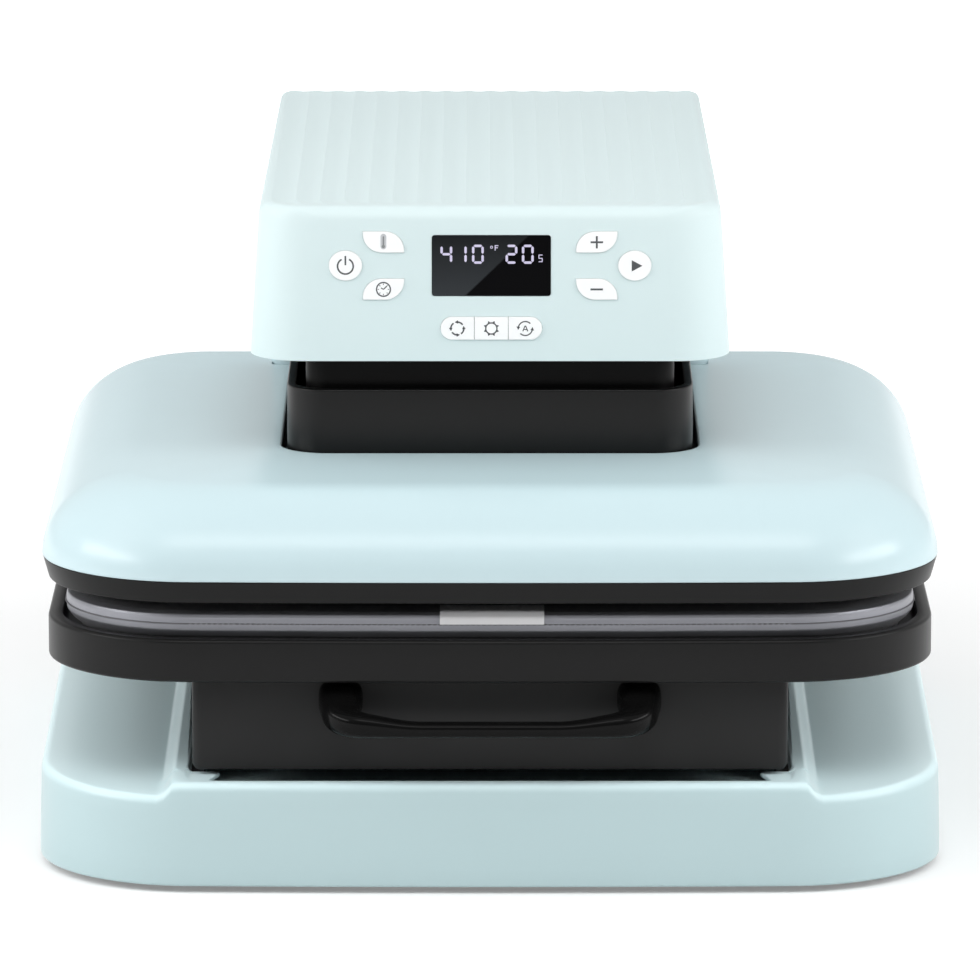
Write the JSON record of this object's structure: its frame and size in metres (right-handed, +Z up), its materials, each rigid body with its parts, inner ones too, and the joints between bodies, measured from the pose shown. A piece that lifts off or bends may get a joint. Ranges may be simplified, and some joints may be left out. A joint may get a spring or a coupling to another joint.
{
  "type": "flat heat press",
  "caption": "Tabletop flat heat press: a domed, motor-driven upper platen under a fixed head with keys and display, over a padded tray on a pull-out drawer.",
  "frame": {"origin": "on the floor under the middle of the object's box, feet at z = 0", "axes": "+X to the right of a person at the handle, -Y towards that person, +Z up"},
  "size_m": [0.404, 0.4718, 0.2917],
  "materials": {
    "aqua_shell": "smooth glossy moulded plastic",
    "black_shell": "fine satin moulded plastic",
    "black_metal": "satin black paint",
    "steel": "zinc plated",
    "alloy": "cast, with a dark release coating below",
    "bronze": "machined",
    "foot_rubber": "moulded",
    "pad_cloth": "silver-grey coated cloth over foam",
    "tag_film": "pale folded strip",
    "white_key": "white moulded plastic",
    "display_glass": "black display window",
    "circuit": "circuit board",
    "insulation": "glass fibre board"
  },
  "bodies": {
    "frame": {"base_shell": "aqua_shell", "base_plate": "steel", "rubber_feet": "foot_rubber", "foot_screws": "steel", "column_shell": "aqua_shell", "rear_panel": "aqua_shell", "panel_screws": "steel", "column_frame": "steel", "frame_bolts": "steel", "arm_plate": "steel", "head_shell": "aqua_shell", "head_floor": "black_shell", "inner_sleeve": "black_shell", "display_window": "display_glass", "control_board": "circuit", "gear_motor": "black_shell", "screw_bearing": "steel", "guide_bushes": "bronze", "power_board": "circuit", "power_inlet": "black_shell", "rocker_housing": "black_shell", "rail_brackets": "steel", "outer_rails": "steel", "drawer_switch": "black_shell"},
    "drawer": {"drawer_front": "black_shell", "drawer_carriage": "black_metal", "pad_tray": "black_shell", "press_pad": "pad_cloth", "pad_tag": "tag_film", "drawer_handle": "black_metal", "handle_screws": "steel", "inner_rails": "steel"},
    "rails": {"middle_rails": "steel"},
    "platen": {"platen_cover": "aqua_shell", "platen_rim": "black_shell", "heat_plate": "alloy", "heating_element": "steel", "insulation_board": "insulation", "plate_spacers": "steel", "pressure_plate": "steel", "outer_sleeve": "black_shell", "guide_rods": "steel", "drive_nut": "bronze", "temperature_sensor": "steel", "thermal_cutout": "black_shell", "cover_screws": "steel"},
    "screw": {"lead_screw": "steel", "screw_gear": "white_key"},
    "pinion": {"motor_pinion": "steel"},
    "rocker": {"power_rocker": "black_shell"},
    "power_button": {"power_key": "white_key"},
    "temperature_button": {"temperature_key": "white_key"},
    "timer_button": {"timer_key": "white_key"},
    "plus_button": {"plus_key": "white_key"},
    "minus_button": {"minus_key": "white_key"},
    "start_button": {"start_key": "white_key"},
    "repeat_button": {"repeat_key": "white_key"},
    "settings_button": {"settings_key": "white_key"},
    "auto_button": {"auto_key": "white_key"}
  },
  "joints": [
    {"name": "drawer_slide", "type": "slide", "parent": "frame", "child": "drawer", "axis": [0, -1, 0], "range_m": [0, 0.3]},
    {"name": "rail_slide", "type": "slide", "parent": "frame", "child": "rails", "axis": [0, -1, 0], "range_m": [0, 0.151]},
    {"name": "platen_press", "type": "slide", "parent": "frame", "child": "platen", "axis": [0, 0, -1], "range_m": [0, 0.0044]},
    {"name": "screw_spin", "type": "hinge", "parent": "frame", "child": "screw", "pos_m": [0, -0.02206, 0.23], "axis": [0, 0, 1], "range_deg": [0, 200]},
    {"name": "pinion_spin", "type": "hinge", "parent": "frame", "child": "pinion", "pos_m": [0, 0.01394, 0.23], "axis": [0, 0, 1], "range_deg": [-600, 0]},
    {"name": "rocker_tilt", "type": "hinge", "parent": "frame", "child": "rocker", "pos_m": [0.045, 0.22594, 0.095], "axis": [1, 0, 0], "range_deg": [0, 16]},
    {"name": "power_press", "type": "slide", "parent": "frame", "child": "power_button", "axis": [0, 0.9983, -0.0579], "range_m": [0, 0.0008], "stiffness_N_per_m": 800, "springref_m": -0.0004},
    {"name": "temperature_press", "type": "slide", "parent": "frame", "child": "temperature_button", "axis": [0, 0.9983, -0.0579], "range_m": [0, 0.0008], "stiffness_N_per_m": 800, "springref_m": -0.0004},
    {"name": "timer_press", "type": "slide", "parent": "frame", "child": "timer_button", "axis": [0, 0.9983, -0.0579], "range_m": [0, 0.0008], "stiffness_N_per_m": 800, "springref_m": -0.0004},
    {"name": "plus_press", "type": "slide", "parent": "frame", "child": "plus_button", "axis": [0, 0.9983, -0.0579], "range_m": [0, 0.0008], "stiffness_N_per_m": 800, "springref_m": -0.0004},
    {"name": "minus_press", "type": "slide", "parent": "frame", "child": "minus_button", "axis": [0, 0.9983, -0.0579], "range_m": [0, 0.0008], "stiffness_N_per_m": 800, "springref_m": -0.0004},
    {"name": "start_press", "type": "slide", "parent": "frame", "child": "start_button", "axis": [0, 0.9983, -0.0579], "range_m": [0, 0.0008], "stiffness_N_per_m": 800, "springref_m": -0.0004},
    {"name": "repeat_press", "type": "slide", "parent": "frame", "child": "repeat_button", "axis": [0, 0.9983, -0.0579], "range_m": [0, 0.0008], "stiffness_N_per_m": 800, "springref_m": -0.0004},
    {"name": "settings_press", "type": "slide", "parent": "frame", "child": "settings_button", "axis": [0, 0.9983, -0.0579], "range_m": [0, 0.0008], "stiffness_N_per_m": 800, "springref_m": -0.0004},
    {"name": "auto_press", "type": "slide", "parent": "frame", "child": "auto_button", "axis": [0, 0.9983, -0.0579], "range_m": [0, 0.0008], "stiffness_N_per_m": 800, "springref_m": -0.0004}
  ],
  "couplings": [
    {"joint": "rail_slide", "follows": "drawer_slide", "ratio": 0.5},
    {"joint": "screw_spin", "follows": "platen_press", "rad_per_m": 785.4},
    {"joint": "pinion_spin", "follows": "platen_press", "rad_per_m": -2356.2}
  ]
}
